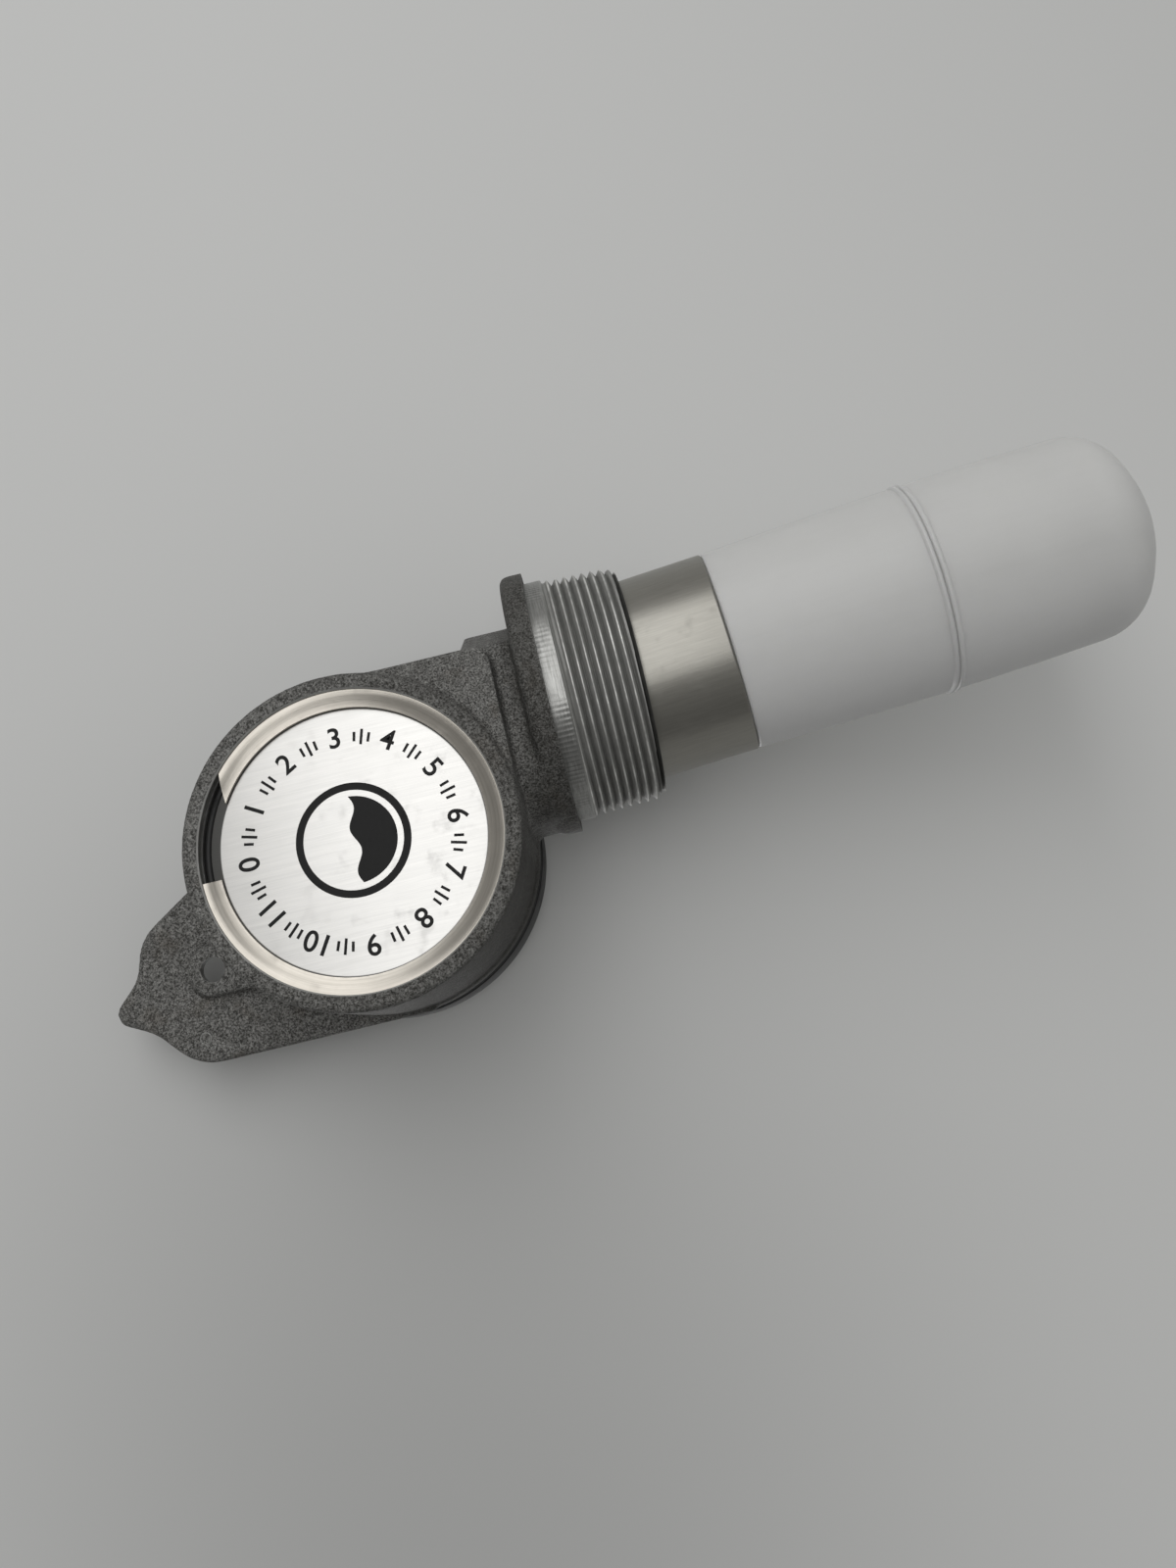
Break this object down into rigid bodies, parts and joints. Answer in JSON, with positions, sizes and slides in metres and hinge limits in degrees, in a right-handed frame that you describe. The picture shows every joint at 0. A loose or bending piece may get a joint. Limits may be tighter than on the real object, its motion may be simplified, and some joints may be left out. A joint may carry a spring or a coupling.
{
  "type": "tank level gauge",
  "caption": "Tank level gauge with threaded neck, round cast housing, foot and inch dial, spring-wound cable drum and a hanging float with a steel sleeve.",
  "frame": {"origin": "on the axis of the threaded neck, in the plane of the flange's underside", "axes": "+Z along the neck axis up and out of the tank, -Y towards the side cover with the label, +Y towards the dial, the drum's axis parallel to Y and offset to -X"},
  "size_m": [0.1003, 0.0701, 0.2685],
  "materials": {
    "casting": "dark chemically treated die casting, fine satin grain",
    "label": "brushed sheet with black print",
    "cover": "turned",
    "seal": "black rubber",
    "ring": "bright stainless",
    "steel": "ground",
    "bronze": "sintered bronze",
    "drum": "natural acetal",
    "cable": "stranded stainless",
    "spring": "blued strip",
    "brass": "cut and polished",
    "plate": "milled",
    "dial": "white enamel with black numbers",
    "screw": "stainless",
    "hand": "black enamel",
    "lens": "clear",
    "bezel": "black moulded",
    "sleeve": "satin stainless tube",
    "float": "milky translucent polyethylene",
    "ferrule": "pressed"
  },
  "bodies": {
    "housing": {"gauge_body": "casting", "label_plate": "label", "side_cover": "cover", "cover_seal": "seal", "retaining_ring": "ring", "main_arbor": "steel", "power_spring": "spring", "cable_lead": "cable", "cable_run": "cable", "transfer_stud": "steel", "movement_plate": "plate", "centre_bush": "bronze", "motion_stud": "steel", "dial": "dial", "dial_screws": "screw", "lens_ring": "seal", "lens": "lens", "bezel": "bezel", "bezel_gasket": "seal", "bezel_screws": "screw"},
    "drum": {"drum_bush": "bronze", "cable_drum": "drum", "cable_winding": "cable", "drum_wheel": "brass"},
    "transfer": {"transfer_wheel": "brass", "relay_wheel": "brass", "transfer_hub": "brass"},
    "inch": {"inch_wheel": "brass", "inch_arbor": "steel", "cannon_pinion": "brass", "inch_hand": "hand", "hand_cap": "hand"},
    "motion": {"motion_wheel": "brass", "motion_pinion": "brass"},
    "foot": {"foot_wheel": "brass", "foot_hand": "hand"},
    "float": {"ballast_sleeve": "sleeve", "upper_float": "float", "lower_float": "float", "top_cap": "float", "eye_nut": "screw", "eye_bolt": "screw", "cable_loop": "cable", "cable_ferrule": "ferrule"}
  },
  "joints": [
    {"name": "float_drop", "type": "slide", "parent": "housing", "child": "float", "axis": [0, 0, -1], "range_m": [0, 1.2192], "deforming": ["cable_run"]},
    {"name": "drum_spin", "type": "hinge", "parent": "housing", "child": "drum", "pos_m": [-0.0283, 0, 0.0493], "axis": [0, 1, 0], "range_deg": [-2, 2471]},
    {"name": "transfer_spin", "type": "hinge", "parent": "housing", "child": "transfer", "pos_m": [-0.0093, 0, 0.0493], "axis": [0, 1, 0], "range_deg": [-1442, 2]},
    {"name": "inch_spin", "type": "hinge", "parent": "housing", "child": "inch", "pos_m": [-0.0283, 0, 0.0493], "axis": [0, 1, 0], "range_deg": [-2, 1442]},
    {"name": "motion_spin", "type": "hinge", "parent": "housing", "child": "motion", "pos_m": [-0.0403, 0, 0.0493], "axis": [0, 1, 0], "range_deg": [-482, 2]},
    {"name": "foot_spin", "type": "hinge", "parent": "housing", "child": "foot", "pos_m": [-0.0283, 0, 0.0493], "axis": [0, 1, 0], "range_deg": [-2, 122]}
  ],
  "couplings": [
    {"joint": "drum_spin", "follows": "float_drop", "rad_per_m": 35.336},
    {"joint": "transfer_spin", "follows": "float_drop", "rad_per_m": -20.612},
    {"joint": "inch_spin", "follows": "float_drop", "rad_per_m": 20.612},
    {"joint": "motion_spin", "follows": "float_drop", "rad_per_m": -6.8708},
    {"joint": "foot_spin", "follows": "float_drop", "rad_per_m": 1.7177}
  ]
}
